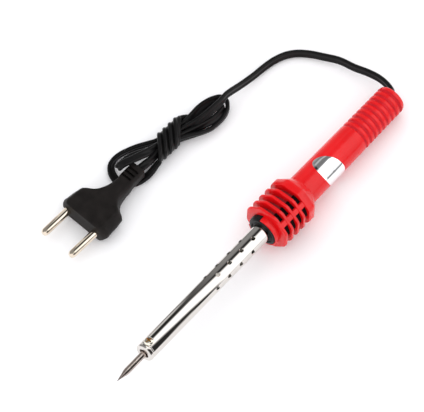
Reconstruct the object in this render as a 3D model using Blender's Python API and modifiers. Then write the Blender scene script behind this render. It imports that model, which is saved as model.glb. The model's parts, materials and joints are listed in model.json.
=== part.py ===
"""Pencil soldering iron with a finned plastic handle, a perforated barrel, a two-pin plug and its cord.

The iron is built along its own axis, as stations measured from the rear end of the handle, and then laid down
the way it rests: on the rear flange of the guard and on the rear edge of the handle, tip end raised.
The plug and the wrapped cord lie beside it and share a second frame, whose X runs along the plug's pins.
"""
import math

import bmesh
import bpy
from mathutils import Matrix, Vector

MM = 0.001
GAP = 0.3

# Iron: stations along the axis and radii, in millimetres
IRON_LENGTH = 221.4
HANDLE_REAR_R = 8.15
HANDLE_FRONT_R = 8.75
HANDLE_EDGE_R = 1.5
GROOVE_COUNT = 9
GROOVE_PITCH = 3.48
GROOVE_FRONT = 30.1
GROOVE_DEPTH = 0.6
GROOVE_HALF = 0.7
FLARE_START = 73.1
FLANGE_REAR = 78.4
FLANGE_FRONT = 82.7
PLATE_PITCH = 4.7
PLATE_THICK = 1.7
PLATE_COUNT = 4
GUARD_CORNER_R = 13.97
GUARD_CORE_R = 9.3
GUARD_SIDES = 8
RIB_R = 12.6
RIB_WIDTH = 2.6
BOSS_R = 9.2
BOSS_LENGTH = 3.3
GUARD_FRONT = FLANGE_FRONT + PLATE_COUNT * PLATE_PITCH
BOSS_FRONT = GUARD_FRONT + BOSS_LENGTH
NOTCH_FROM = -12.0
NOTCH_TO = -104.0
LUG_INSET_DEG = 2.5
REAR_WALL = 3.0
CORD_HOLE_R = 2.6
WIRING_R = 6.0
BUSH_BORE_R = 8.5
BUSH_SEAT = 86.4
BUSH_REAR = 88.3
BUSH_FRONT = BOSS_FRONT + 0.4
BARREL_R = 5.2
BARREL_WALL = 0.4
BARREL_LIP_R = 6.2
BARREL_REAR = 87.2
BARREL_FRONT = 200.2
VENT_R = 1.05
VENT_PITCH = 9.4
VENT_PER_ROW = 4
VENT_ROWS = 6
VENT_FIRST = 113.4
VENT_ROW_ANGLE = 9.0
TIP_R = 1.8
TIP_CONE = 7.5
TIP_REAR = 156.0
SCREW_STATION = 195.3
SCREW_ANGLE = -7.0
SCREW_HEAD_R = 2.6
SCREW_HEAD_H = 1.3
SCREW_SHANK_R = 1.3
SCREW_CHAMFER = 0.6
SLOT_WIDTH = 0.6
SLOT_DEPTH = 0.6
CORE_R = 2.5
CORE_BORE_R = TIP_R + GAP
CORE_REAR = 146.0
CORE_FRONT = 198.6
HEATER_REAR = 149.0
HEATER_FRONT = 188.0
SPACER_LENGTH = 2.0
INSULATOR_LENGTH = 6.0
INSULATOR_HOLE_R = 1.4
MICA_INNER = (3.05, 2.75)
MICA_OUTER = (4.25, 3.95)
COIL_R = 3.45
COIL_WIRE_R = 0.2
COIL_TURNS = 11
COIL_POINTS = 10
LABEL_STATION = 55.5
LABEL_HALF_LENGTH = 6.7
LABEL_HALF_ARC = 12.9
LABEL_SHEAR = -0.215
LABEL_ANGLE = 56.0
LABEL_THICK = 0.25
LEAD_SIDE = 2.1
LEAD_R_WIRE = 0.35
HEATER_LEAD_END = 67.5
SLEEVE = (1.1, 0.65)
SLEEVE_END = 72.0
CRIMP = (1.5, 1.0)
CRIMP_SPAN = (62.0, 71.0)
COPPER_R = 0.7
COPPER_SPAN = (33.0, 66.5)
INSIDE_CORD_R = 2.2
INSIDE_CORD_SPAN = (2.0, 32.0)
CLAMP_R = 4.6
CLAMP_SPAN = (12.0, 18.0)

# Plug: u runs back from its front face, w across it, z up from the table
PLUG_ORIGIN = (44.22, -78.39)
PLUG_TURN = -3.85
PLUG_THICK = 13.0
PLUG_HALF_WIDTH = 15.2
PLUG_SHOULDER = 14.6
NECK_HALF_WIDTH = 5.3
NECK_START = 19.0
NECK_END = 42.0
NECK_LOW = 2.9
NECK_HIGH = 10.1
PIN_R = 2.15
PIN_LENGTH = 19.0
PIN_SPACING = 19.0
PIN_SOCKET = 6.0
PLUG_EDGE_HALF = 1.0
PLUG_FLAT_SHARE = 0.78
# Half the plug's outline, from its front face back to the start of the waist: x and y
PLUG_EAR = [
    (0.0, 11.8), (-0.2, 13.6), (-1.6, PLUG_HALF_WIDTH), (-4.2, PLUG_HALF_WIDTH), (-13.6, PLUG_SHOULDER),
    (-15.2, 12.9),
]
WAIST_START = (-16.0, 11.0)
WAIST_LENGTH = 8.0

# Cord: a flat twin cord, drawn here as plain round tubes
LEAD_R = 2.2
LOOP_R = 1.25
BIGHT_R = 1.8
TAIL_R = 1.9
HANK_REAR = (96.5, 3.6)
HANK_FRONT = (63.0, -0.6)
HANK_HALF_WIDTH = 6.8
HANK_HEIGHT = 11.5

# Route of the free cord over the table, x, y and z in the object's frame
LEAD_ROUTE = [
    (-111.2, -0.1, 8.2), (-113.2, -1.5, 8.3), (-114.6, -4.4, 8.3), (-115.7, -8.2, 7.8), (-116.3, -12.8, 7.0),
    (-115.8, -18.9, 6.2), (-114.1, -27.5, 5.0), (-112.9, -36.4, 4.0), (-110.0, -43.9, 3.3),
    (-106.7, -51.4, 2.7), (-102.0, -57.0, 2.4), (-97.4, -60.2, 2.3), (-92.8, -62.3, 2.3), (-84.1, -64.4, 2.5),
    (-79.3, -65.1, 2.9), (-74.7, -65.5, 3.6), (-69.8, -65.9, 4.8), (-65.3, -66.2, 6.4), (-62.2, -66.4, 7.8),
    (-60.6, -66.5, 8.6),
]
# Routes in the plug's frame: u, w and z
LOOP_ROUTE = [
    (57.8, -7.7, 3.0), (55.0, -9.1, 2.2), (49.3, -11.7, 1.6), (43.9, -13.5, 1.4), (38.6, -13.9, 1.4),
    (34.5, -11.8, 1.4), (31.9, -7.9, 1.4), (31.2, -4.0, 1.3), (31.6, 0.0, 1.3), (33.5, 3.4, 1.3),
    (37.5, 5.6, 1.4), (43.0, 6.6, 2.0), (47.5, 6.2, 3.2), (51.0, 5.2, 4.4), (53.5, 4.3, 5.2),
]
BIGHT_ROUTE = [
    (54.6, -2.0, 10.6), (50.0, -2.0, 11.6), (44.0, -3.1, 12.2), (38.5, -4.6, 12.4), (35.4, -5.5, 12.4),
]
TAIL_ROUTE = [(42.4, 0.6, 6.5), (46.0, 0.6, 6.0), (50.5, 0.2, 5.6), (55.7, -0.4, 5.5)]


def clear_scene():
    for old in list(bpy.data.objects):
        bpy.data.objects.remove(old, do_unlink=True)


def collection(name):
    made = bpy.data.collections.new(name)
    bpy.context.scene.collection.children.link(made)
    return made


def material(name, color, roughness, metallic=0.0):
    made = bpy.data.materials.new(name)
    made.use_nodes = True
    shader = made.node_tree.nodes["Principled BSDF"]
    shader.inputs["Base Color"].default_value = (*color, 1.0)
    shader.inputs["Roughness"].default_value = roughness
    shader.inputs["Metallic"].default_value = metallic
    made.diffuse_color = (*color, 1.0)
    return made


def empty(name, location=(0, 0, 0), rotation=(0, 0, 0), parent=None):
    made = bpy.data.objects.new(name, None)
    PARTS.objects.link(made)
    made.location = Vector(location) * MM
    made.rotation_euler = rotation
    made.parent = parent
    return made


def add(name, data, parent, finish=None, group=None):
    made = bpy.data.objects.new(name, data)
    (group or PARTS).objects.link(made)
    made.parent = parent
    if finish:
        data.materials.append(finish)
    if group:
        made.hide_render = True
        made.display_type = "WIRE"
    return made


def soften(data, angle=35.0):
    if len(data.polygons):
        data.shade_smooth()
        data.set_sharp_from_angle(angle=math.radians(angle))


def turned(name, profile, parent, finish=None, steps=24, ring=False, group=None):
    """A body turned about X from (station, radius) points, front end first and the outer side first."""
    data = bpy.data.meshes.new(name)
    verts = [(radius * MM, 0.0, station * MM) for station, radius in profile]
    edges = [(i, i + 1) for i in range(len(verts) - 1)]
    if ring:
        edges.append((len(verts) - 1, 0))
    data.from_pydata(verts, edges, [])
    made = add(name, data, parent, finish, group)
    made.rotation_euler = (0.0, math.pi / 2, 0.0)
    screw = made.modifiers.new("turn", "SCREW")
    screw.axis = "Z"
    screw.steps = steps
    screw.render_steps = steps
    screw.use_merge_vertices = True
    screw.merge_threshold = 0.00001
    screw.use_smooth_shade = True
    return made


def tube_ring(name, rear, front, outer, inner, parent, finish, steps=24):
    profile = [(front, inner), (front, outer), (rear, outer), (rear, inner)]
    return turned(name, profile, parent, finish, steps, ring=True)


def rod(name, rear, front, radius, parent, finish=None, steps=16, group=None):
    profile = [(front, 0.0), (front, radius), (rear, radius), (rear, 0.0)]
    return turned(name, profile, parent, finish, steps, group=group)


def outline(name, points, thickness, parent, finish=None, group=None):
    """A flat outline in the parent's XY plane, thickened to both sides of that plane."""
    data = bpy.data.curves.new(name, "CURVE")
    data.dimensions = "2D"
    data.fill_mode = "BOTH"
    data.extrude = thickness * MM / 2
    spline = data.splines.new("POLY")
    spline.points.add(len(points) - 1)
    for point, (x, y) in zip(spline.points, points):
        point.co = (x * MM, y * MM, 0.0, 1.0)
    spline.use_cyclic_u = True
    return add(name, data, parent, finish, group)


def to_mesh(curve_object):
    """Replaces a curve by its own closed mesh, in the same place."""
    bpy.context.view_layer.update()
    graph = bpy.context.evaluated_depsgraph_get()
    data = bpy.data.meshes.new_from_object(curve_object.evaluated_get(graph))
    shell = bmesh.new()
    shell.from_mesh(data)
    bmesh.ops.remove_doubles(shell, verts=shell.verts, dist=0.000001)
    bmesh.ops.recalc_face_normals(shell, faces=shell.faces)
    shell.to_mesh(data)
    shell.free()
    made = bpy.data.objects.new(curve_object.name, data)
    for group in curve_object.users_collection:
        group.objects.link(made)
    made.parent = curve_object.parent
    made.matrix_world = curve_object.matrix_world
    made.hide_render = curve_object.hide_render
    made.display_type = curve_object.display_type
    name = curve_object.name
    bpy.data.objects.remove(curve_object, do_unlink=True)
    made.name = name
    return made


def smooth_points(route, spacing):
    """Points a fixed distance apart on a Catmull-Rom curve through the route's own points."""
    knots = [Vector(point) for point in route]
    ends = [knots[0] * 2 - knots[1]] + knots + [knots[-1] * 2 - knots[-2]]
    fine = []
    samples = 16
    for before, start, end, after in zip(ends, ends[1:], ends[2:], ends[3:]):
        for step in range(samples):
            t = step / samples
            square = before * 2 - start * 5 + end * 4 - after
            cube = start * 3 - before - end * 3 + after
            fine.append(start + ((end - before) * t + square * t ** 2 + cube * t ** 3) / 2)
    fine.append(knots[-1])
    lengths = [0.0]
    for first, second in zip(fine, fine[1:]):
        lengths.append(lengths[-1] + (second - first).length)
    count = max(2, round(lengths[-1] / spacing))
    points = []
    index = 0
    for step in range(count + 1):
        target = lengths[-1] * step / count
        while index < len(fine) - 2 and lengths[index + 1] < target:
            index += 1
        share = (target - lengths[index]) / (lengths[index + 1] - lengths[index])
        points.append(fine[index].lerp(fine[index + 1], share))
    return points


def tube(name, points, radius, parent, finish, resolution=2):
    data = bpy.data.curves.new(name, "CURVE")
    data.dimensions = "3D"
    data.bevel_depth = radius * MM
    data.bevel_resolution = resolution
    data.use_fill_caps = True
    spline = data.splines.new("POLY")
    spline.points.add(len(points) - 1)
    for point, place in zip(spline.points, points):
        point.co = (*(Vector(place) * MM), 1.0)
    return add(name, data, parent, finish)


def boolean(target, operation, cutters):
    """Cuts the target with, or joins it to, every object of a collection."""
    step = target.modifiers.new(operation.lower(), "BOOLEAN")
    step.operation = operation
    step.solver = "EXACT"
    step.operand_type = "COLLECTION"
    step.collection = cutters


def box(name, low, high, parent, finish=None, group=None):
    data = bpy.data.meshes.new(name)
    cube = bmesh.new()
    bmesh.ops.create_cube(cube, size=1.0)
    centre = (Vector(low) + Vector(high)) * (MM / 2)
    size = (Vector(high) - Vector(low)) * MM
    bmesh.ops.scale(cube, vec=size, verts=cube.verts)
    bmesh.ops.translate(cube, vec=centre, verts=cube.verts)
    cube.to_mesh(data)
    cube.free()
    return add(name, data, parent, finish, group)


def prism(name, rear, front, rear_r, front_r, parent, group):
    """An octagonal prism or pyramid stump along X, standing on one of its flats."""
    data = bpy.data.meshes.new(name)
    shape = bmesh.new()
    bmesh.ops.create_cone(shape, cap_ends=True, segments=GUARD_SIDES, radius1=rear_r * MM,
                          radius2=front_r * MM, depth=(front - rear) * MM)
    place = (Matrix.Translation(((rear + front) * MM / 2, 0, 0)) @ Matrix.Rotation(math.pi / 2, 4, "Y")
             @ Matrix.Rotation(math.pi / GUARD_SIDES, 4, "Z"))
    bmesh.ops.transform(shape, matrix=place, verts=shape.verts)
    shape.to_mesh(data)
    shape.free()
    return add(name, data, parent, group=group)


def radial(name, spots, radius, low, high, parent, group, sides=10):
    """Short cylinders that point away from the iron's axis, one at each (station, angle)."""
    data = bpy.data.meshes.new(name)
    shape = bmesh.new()
    for station, angle in spots:
        place = (Matrix.Translation((station * MM, 0, 0)) @ around_axis(angle)
                 @ Matrix.Translation((0, 0, (low + high) * MM / 2)))
        bmesh.ops.create_cone(shape, cap_ends=True, segments=sides, radius1=radius * MM, radius2=radius * MM,
                              depth=(high - low) * MM, matrix=place)
    shape.to_mesh(data)
    shape.free()
    return add(name, data, parent, group=group)


def around_axis(angle_deg):
    """Rotation about the iron's axis; 0 is up and positive leans towards +Y."""
    return Matrix.Rotation(-math.radians(angle_deg), 4, "X")


def handle_radius(station):
    return HANDLE_REAR_R + (HANDLE_FRONT_R - HANDLE_REAR_R) * station / FLARE_START


def handle_profile():
    base = GUARD_FRONT - 0.5
    points = [(BOSS_FRONT, 0.0), (BOSS_FRONT, BOSS_R), (base, BOSS_R), (base, GUARD_CORE_R)]
    points += [(FLANGE_REAR, GUARD_CORE_R), (FLARE_START + 0.5, HANDLE_FRONT_R)]
    for index in range(GROOVE_COUNT):
        middle = GROOVE_FRONT - index * GROOVE_PITCH
        rim = handle_radius(middle)
        points.append((middle + GROOVE_HALF, rim))
        points.append((middle, rim - GROOVE_DEPTH))
        points.append((middle - GROOVE_HALF, rim))
    corner_steps = 4
    for step in range(corner_steps + 1):
        turn = math.pi / 2 * step / corner_steps
        rim = HANDLE_REAR_R - HANDLE_EDGE_R * (1 - math.cos(turn))
        points.append((HANDLE_EDGE_R * (1 - math.sin(turn)), rim))
    points.append((0.0, 0.0))
    return points


def make_handle(axis):
    handle = turned("handle", handle_profile(), axis, RED)
    pieces = collection("guard_pieces")
    prism("flare", FLARE_START, FLANGE_REAR + 0.1, HANDLE_FRONT_R, GUARD_CORNER_R, axis, pieces)
    prism("rear_flange", FLANGE_REAR, FLANGE_FRONT, GUARD_CORNER_R, GUARD_CORNER_R, axis, pieces)
    for index in range(PLATE_COUNT):
        front = GUARD_FRONT - index * PLATE_PITCH
        prism(f"plate_{index}", front - PLATE_THICK, front, GUARD_CORNER_R, GUARD_CORNER_R, axis, pieces)
    for index in range(4):
        low = (FLANGE_FRONT - 1, -RIB_WIDTH / 2, BUSH_BORE_R)
        rib = box(f"rib_{index}", low, (GUARD_FRONT - 1, RIB_WIDTH / 2, RIB_R), axis, group=pieces)
        rib.rotation_euler = (math.radians(45 + 90 * index), 0, 0)
    boolean(handle, "UNION", pieces)

    cuts = collection("handle_cuts")
    bore = [(BOSS_FRONT + 1, 0.0), (BOSS_FRONT + 1, BUSH_BORE_R), (BUSH_SEAT, BUSH_BORE_R),
            (BUSH_SEAT - 2, WIRING_R), (REAR_WALL, WIRING_R), (REAR_WALL, CORD_HOLE_R),
            (-1.0, CORD_HOLE_R), (-1.0, 0.0)]
    turned("handle_bore", bore, axis, group=cuts)
    notch = []
    arc_steps = 6
    for step in range(arc_steps + 1):
        turn = math.radians(NOTCH_FROM + (NOTCH_TO - NOTCH_FROM) * step / arc_steps)
        notch.append((math.sin(turn) * (BOSS_R + 1), math.cos(turn) * (BOSS_R + 1)))
    notch.append((0.0, 0.0))
    wedge = outline("boss_notch", notch, BOSS_LENGTH + 1, axis, group=cuts)
    wedge.location = ((GUARD_FRONT + (BOSS_LENGTH + 1) / 2 + 0.02) * MM, 0, 0)
    wedge.rotation_euler = Matrix(((0, 0, 1), (1, 0, 0), (0, 1, 0))).to_euler()
    to_mesh(wedge)
    boolean(handle, "DIFFERENCE", cuts)


def make_label(axis):
    """A thin oval plate, bent round the handle just above its surface."""
    data = bpy.data.meshes.new("label")
    sheet = bmesh.new()
    bmesh.ops.create_grid(sheet, x_segments=7, y_segments=13, size=1.0)
    for vert in sheet.verts:
        x, y = vert.co.x, vert.co.y
        across = x * math.sqrt(1 - y * y / 2) * LABEL_HALF_LENGTH
        arc = y * math.sqrt(1 - x * x / 2) * LABEL_HALF_ARC
        station = LABEL_STATION + across + LABEL_SHEAR * arc
        radius = handle_radius(station) + GAP
        turn = math.radians(LABEL_ANGLE) + arc / radius
        vert.co = Vector((station, math.sin(turn) * radius, math.cos(turn) * radius)) * MM
    sheet.to_mesh(data)
    sheet.free()
    label = add("label", data, axis, CHROME)
    skin = label.modifiers.new("thickness", "SOLIDIFY")
    skin.thickness = LABEL_THICK * MM
    skin.offset = 1.0


def make_bush(axis):
    """The heat-resistant bush that holds the barrel, with a lug that fills the notch in the handle's boss."""
    hole = BARREL_R + GAP
    shoulder = BUSH_BORE_R - GAP
    profile = [(BUSH_FRONT, hole), (BUSH_FRONT, shoulder - 1), (BUSH_FRONT - 0.8, shoulder),
               (BUSH_REAR, shoulder), (BUSH_REAR, hole)]
    bush = turned("front_bush", profile, axis, BLACK_BAKELITE, ring=True)
    lug = []
    arc_steps = 6
    for step in range(arc_steps + 1):
        span = NOTCH_TO - NOTCH_FROM + 2 * LUG_INSET_DEG
        turn = math.radians(NOTCH_FROM - LUG_INSET_DEG + span * step / arc_steps)
        lug.append((math.sin(turn) * BOSS_R, math.cos(turn) * BOSS_R))
    middle = math.radians((NOTCH_FROM + NOTCH_TO) / 2)
    lug.append((math.sin(middle) * (hole + 1), math.cos(middle) * (hole + 1)))
    group = collection("bush_lug")
    key = outline("lug", lug, BOSS_LENGTH - GAP, axis, group=group)
    key.location = ((GUARD_FRONT + GAP + (BOSS_LENGTH - GAP) / 2) * MM, 0, 0)
    key.rotation_euler = Matrix(((0, 0, 1), (1, 0, 0), (0, 1, 0))).to_euler()
    to_mesh(key)
    boolean(bush, "UNION", group)


def make_barrel(axis):
    inner = BARREL_R - BARREL_WALL
    mouth = CORE_R + GAP
    profile = [(BARREL_FRONT - 0.8, mouth), (BARREL_FRONT, mouth), (BARREL_FRONT, BARREL_R - 0.5),
               (BARREL_FRONT - 0.5, BARREL_R), (BARREL_REAR + 0.8, BARREL_R),
               (BARREL_REAR + 0.8, BARREL_LIP_R), (BARREL_REAR, BARREL_LIP_R), (BARREL_REAR, inner),
               (BARREL_FRONT - 0.8, inner)]
    barrel = turned("barrel", profile, axis, NICKEL, steps=32, ring=True)
    spots = []
    for row in range(VENT_ROWS):
        shift = VENT_PITCH / 2 * (row % 2)
        for index in range(VENT_PER_ROW):
            spots.append((VENT_FIRST + shift + index * VENT_PITCH, VENT_ROW_ANGLE + 360.0 / VENT_ROWS * row))
    cuts = collection("barrel_cuts")
    radial("vents", spots, VENT_R, inner - 1, BARREL_R + 1, axis, cuts, sides=8)
    screw_spot = [(SCREW_STATION, SCREW_ANGLE)]
    radial("screw_hole", screw_spot, SCREW_SHANK_R + GAP, inner - 1, BARREL_R + 1, axis, cuts)
    boolean(barrel, "DIFFERENCE", cuts)


def make_heater(axis):
    core = tube_ring("heater_core", CORE_REAR, CORE_FRONT, CORE_R, CORE_BORE_R, axis, STEEL)
    cuts = collection("core_cuts")
    radial("core_hole", [(SCREW_STATION, SCREW_ANGLE)], SCREW_SHANK_R + GAP, TIP_R, CORE_R + 1, axis, cuts)
    boolean(core, "DIFFERENCE", cuts)
    tube_ring("mica_inner_sleeve", HEATER_REAR, HEATER_FRONT, *MICA_INNER, axis, MICA)
    tube_ring("mica_outer_sleeve", HEATER_REAR, HEATER_FRONT, *MICA_OUTER, axis, MICA)
    coil = []
    length = HEATER_FRONT - HEATER_REAR - 4
    for step in range(COIL_TURNS * COIL_POINTS + 1):
        turn = 2 * math.pi * step / COIL_POINTS
        station = HEATER_REAR + 2 + length * step / (COIL_TURNS * COIL_POINTS)
        coil.append((station, math.sin(turn) * COIL_R, math.cos(turn) * COIL_R))
    tube("heating_coil", coil, COIL_WIRE_R, axis, NICHROME, resolution=0)
    outer = BARREL_R - BARREL_WALL - GAP
    spacer = HEATER_FRONT + GAP
    tube_ring("front_spacer", spacer, spacer + SPACER_LENGTH, outer, CORE_R + GAP, axis, CERAMIC)
    face = CORE_REAR - GAP
    disc = rod("rear_insulator", face - INSULATOR_LENGTH, face, outer, axis, CERAMIC, steps=24)
    holes = collection("insulator_cuts")
    for side in (-1, 1):
        rear = face - INSULATOR_LENGTH - 1
        bore = rod(f"lead_hole_{side + 1}", rear, face + 1, INSULATOR_HOLE_R, axis, steps=10, group=holes)
        bore.location = (0, side * LEAD_SIDE * MM, 0)
    boolean(disc, "DIFFERENCE", holes)


def make_wiring(axis):
    """The leads from the heater to the cord, one set on each side of the axis."""
    for side, tag in ((-1, "left"), (1, "right")):
        pieces = [
            tube_ring(f"lead_sleeve_{tag}", SLEEVE_END, CORE_REAR - 1, *SLEEVE, axis, GLASS_FIBRE, steps=10),
            rod(f"heater_lead_{tag}", HEATER_LEAD_END, CORE_REAR - GAP, LEAD_R_WIRE, axis, NICHROME, steps=8),
            tube_ring(f"crimp_{tag}", *CRIMP_SPAN, *CRIMP, axis, BRASS, steps=10),
            rod(f"cord_core_{tag}", *COPPER_SPAN, COPPER_R, axis, COPPER, steps=8),
        ]
        for piece in pieces:
            piece.location = (0, side * LEAD_SIDE * MM, 0)
    stem = [(INSIDE_CORD_SPAN[0], 0, 0), (INSIDE_CORD_SPAN[1], 0, 0)]
    tube("cord_inside_handle", stem, INSIDE_CORD_R, axis, CORD_BLACK)
    tube_ring("cord_clamp", *CLAMP_SPAN, CLAMP_R, CORD_HOLE_R, axis, STEEL, steps=16)


def make_tip(axis):
    profile = [(IRON_LENGTH, 0.0), (IRON_LENGTH - 0.3, 0.25), (IRON_LENGTH - TIP_CONE, TIP_R),
               (TIP_REAR + 0.5, TIP_R), (TIP_REAR, TIP_R - 0.5), (TIP_REAR, 0.0)]
    turned("tip", profile, axis, TIP_METAL, steps=20)


def make_screw(axis):
    pivot = empty("tip_screw_axis", (SCREW_STATION, 0, 0), (-math.radians(SCREW_ANGLE), 0, 0), axis)
    seat = BARREL_R + GAP
    top = seat + SCREW_HEAD_H
    profile = [(top, 0.0), (top, SCREW_HEAD_R - SCREW_CHAMFER), (top - 0.5, SCREW_HEAD_R),
               (seat, SCREW_HEAD_R), (seat, SCREW_SHANK_R), (TIP_R + GAP, SCREW_SHANK_R), (TIP_R + GAP, 0.0)]
    screw = turned("tip_screw", profile, pivot, SCREW_METAL, steps=20)
    screw.rotation_euler = (0, 0, 0)
    cuts = collection("screw_cuts")
    length = SCREW_HEAD_R - SCREW_CHAMFER
    half = SLOT_WIDTH / 2
    box("slot_a", (-length, -half, top - SLOT_DEPTH), (length, half, top + 1), pivot, group=cuts)
    box("slot_b", (-half, -length, top - SLOT_DEPTH), (half, length, top + 1), pivot, group=cuts)
    boolean(screw, "DIFFERENCE", cuts)


def plug_half():
    """Half of the plug's outline in the plug's frame, from the front face back to the neck."""
    points = list(PLUG_EAR)
    neck = NECK_HALF_WIDTH
    curve_steps = 5
    for step in range(curve_steps + 1):
        turn = math.pi / 2 * step / curve_steps
        x = WAIST_START[0] - WAIST_LENGTH * (1 - math.cos(turn))
        points.append((x, neck + (WAIST_START[1] - neck) * (1 - math.sin(turn))))
    return points


def plug_shell(frame):
    """The plug's body, full width at half its height and narrower at its flat top and bottom."""
    half = plug_half()
    around = half + [(x, -y) for x, y in reversed(half)]
    middle = PLUG_THICK / 2
    verts = []
    for z, share in ((0.0, PLUG_FLAT_SHARE), (middle - PLUG_EDGE_HALF, 1.0), (middle + PLUG_EDGE_HALF, 1.0),
                     (PLUG_THICK, PLUG_FLAT_SHARE)):
        verts += [(x * MM, y * share * MM, z * MM) for x, y in around]
    count = len(around)
    faces = [tuple(range(count)), tuple(range(3 * count, 4 * count))]
    for low in (0, count, 2 * count):
        for index in range(count):
            after = (index + 1) % count
            faces.append((low + index, low + after, low + count + after, low + count + index))
    data = bpy.data.meshes.new("plug_body")
    data.from_pydata(verts, [], faces)
    shell = bmesh.new()
    shell.from_mesh(data)
    bmesh.ops.triangulate(shell, faces=shell.faces)
    bmesh.ops.recalc_face_normals(shell, faces=shell.faces)
    shell.to_mesh(data)
    shell.free()
    return add("plug_body", data, frame, RUBBER)


def make_plug(frame):
    body = plug_shell(frame)
    neck_piece = collection("plug_neck")
    low = (-NECK_END, -NECK_HALF_WIDTH, NECK_LOW)
    box("neck", low, (-NECK_START, NECK_HALF_WIDTH, NECK_HIGH), frame, group=neck_piece)
    boolean(body, "UNION", neck_piece)
    sockets = collection("plug_cuts")
    for side, tag in ((-1, "left"), (1, "right")):
        place = (0, side * PIN_SPACING / 2 * MM, PLUG_THICK / 2 * MM)
        hole = rod(f"socket_{tag}", -PIN_SOCKET, 2.0, PIN_R + GAP, frame, steps=16, group=sockets)
        hole.location = place
        end = PIN_LENGTH
        shape = [(end, 0.0), (end - 0.2, 1.0), (end - 1.4, PIN_R), (-PIN_SOCKET + GAP, PIN_R),
                 (-PIN_SOCKET + GAP, 0.0)]
        pin = turned(f"plug_pin_{tag}", shape, frame, PIN_METAL, steps=16)
        pin.location = place
    boolean(body, "DIFFERENCE", sockets)


def make_cord(frame):
    tube("cord_lead", smooth_points(LEAD_ROUTE, 4.6), LEAD_R, None, CORD_BLACK)
    for name, route, radius in (("cord_loop", LOOP_ROUTE, LOOP_R), ("cord_bight", BIGHT_ROUTE, BIGHT_R),
                                ("cord_tail", TAIL_ROUTE, TAIL_R)):
        points = [(-u, w, z) for u, w, z in route]
        tube(name, smooth_points(points, 4.0), radius, frame, CORD_BLACK)
    rear = Vector((-HANK_REAR[0], HANK_REAR[1]))
    front = Vector((-HANK_FRONT[0], HANK_FRONT[1]))
    along = (front - rear).normalized()
    lead = math.atan2(along.y, along.x)
    edge = []
    end_steps = 10
    for centre, start in ((front, lead - math.pi / 2), (rear, lead + math.pi / 2)):
        for step in range(end_steps + 1):
            turn = start + math.pi * step / end_steps
            spot = centre + Vector((math.cos(turn), math.sin(turn))) * HANK_HALF_WIDTH
            edge.append((spot.x, spot.y))
    hank = outline("cord_hank", edge, HANK_HEIGHT, frame, CORD_BLACK)
    hank.location = (0, 0, HANK_HEIGHT * MM / 2)


def lay_down(axis):
    """Tilts the iron onto its rear flange and rear edge, with the middle of its length over the origin."""
    rise = GUARD_CORNER_R * math.cos(math.pi / GUARD_SIDES) - HANDLE_REAR_R
    tilt = math.asin(rise / math.hypot(FLANGE_REAR - HANDLE_EDGE_R, rise))
    axis.rotation_euler = (0, -tilt, 0)
    flat = GUARD_CORNER_R * math.cos(math.pi / GUARD_SIDES)
    axis_height = flat * math.cos(tilt) - FLANGE_REAR * math.sin(tilt)
    rear_x = -(HANDLE_REAR_R - HANDLE_EDGE_R) * math.sin(tilt)
    axis.location = Vector((-(rear_x + IRON_LENGTH * math.cos(tilt)) / 2, 0, axis_height)) * MM


clear_scene()
PARTS = collection("soldering_iron")
RED = material("red_plastic", (0.75, 0.02, 0.02), 0.35)
BLACK_BAKELITE = material("black_bakelite", (0.015, 0.017, 0.018), 0.5)
RUBBER = material("black_rubber", (0.022, 0.02, 0.018), 0.55)
CORD_BLACK = material("cord_sheath", (0.02, 0.02, 0.022), 0.4)
CHROME = material("label_foil", (0.85, 0.86, 0.88), 0.1, 1.0)
NICKEL = material("polished_nickel", (0.78, 0.74, 0.68), 0.18, 1.0)
STEEL = material("plain_steel", (0.55, 0.55, 0.55), 0.35, 1.0)
NICHROME = material("nichrome", (0.4, 0.38, 0.36), 0.4, 1.0)
MICA = material("mica", (0.55, 0.45, 0.3), 0.4)
CERAMIC = material("ceramic", (0.85, 0.83, 0.78), 0.5)
GLASS_FIBRE = material("glass_fibre", (0.8, 0.78, 0.7), 0.8)
BRASS = material("brass", (0.75, 0.55, 0.25), 0.3, 1.0)
COPPER = material("copper", (0.75, 0.38, 0.22), 0.35, 1.0)
TIP_METAL = material("plated_copper", (0.62, 0.52, 0.45), 0.25, 1.0)
SCREW_METAL = material("screw_steel", (0.72, 0.62, 0.42), 0.25, 1.0)
PIN_METAL = material("pin_nickel", (0.8, 0.72, 0.58), 0.2, 1.0)

iron = empty("iron_axis")
lay_down(iron)
make_handle(iron)
make_label(iron)
make_bush(iron)
make_barrel(iron)
make_heater(iron)
make_wiring(iron)
make_tip(iron)
make_screw(iron)
plug = empty("plug_frame", (*PLUG_ORIGIN, 0), (0, 0, math.radians(PLUG_TURN)))
make_plug(plug)
make_cord(plug)
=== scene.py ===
"""Looks of the soldering iron: detailed shells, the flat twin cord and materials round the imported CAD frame."""
import json
import math

import bmesh
import bpy
from mathutils import Matrix, Vector


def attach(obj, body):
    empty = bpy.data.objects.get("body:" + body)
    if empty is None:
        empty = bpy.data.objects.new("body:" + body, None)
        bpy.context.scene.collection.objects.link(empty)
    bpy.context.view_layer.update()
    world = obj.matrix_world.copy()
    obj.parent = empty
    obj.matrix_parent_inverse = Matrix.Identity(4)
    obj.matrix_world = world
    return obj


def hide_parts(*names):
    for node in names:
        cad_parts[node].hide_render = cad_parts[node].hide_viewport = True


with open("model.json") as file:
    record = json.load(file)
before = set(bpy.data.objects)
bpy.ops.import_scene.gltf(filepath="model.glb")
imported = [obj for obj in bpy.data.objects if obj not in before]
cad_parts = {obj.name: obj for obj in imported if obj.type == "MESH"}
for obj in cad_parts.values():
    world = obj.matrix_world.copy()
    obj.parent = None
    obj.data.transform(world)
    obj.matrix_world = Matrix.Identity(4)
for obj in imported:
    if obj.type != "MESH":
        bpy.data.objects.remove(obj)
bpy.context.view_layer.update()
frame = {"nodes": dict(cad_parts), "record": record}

MM = 0.001
ROOT = "iron"
joints = {joint["name"]: joint for joint in frame["record"]["behaviour"]["joints"]}

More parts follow.
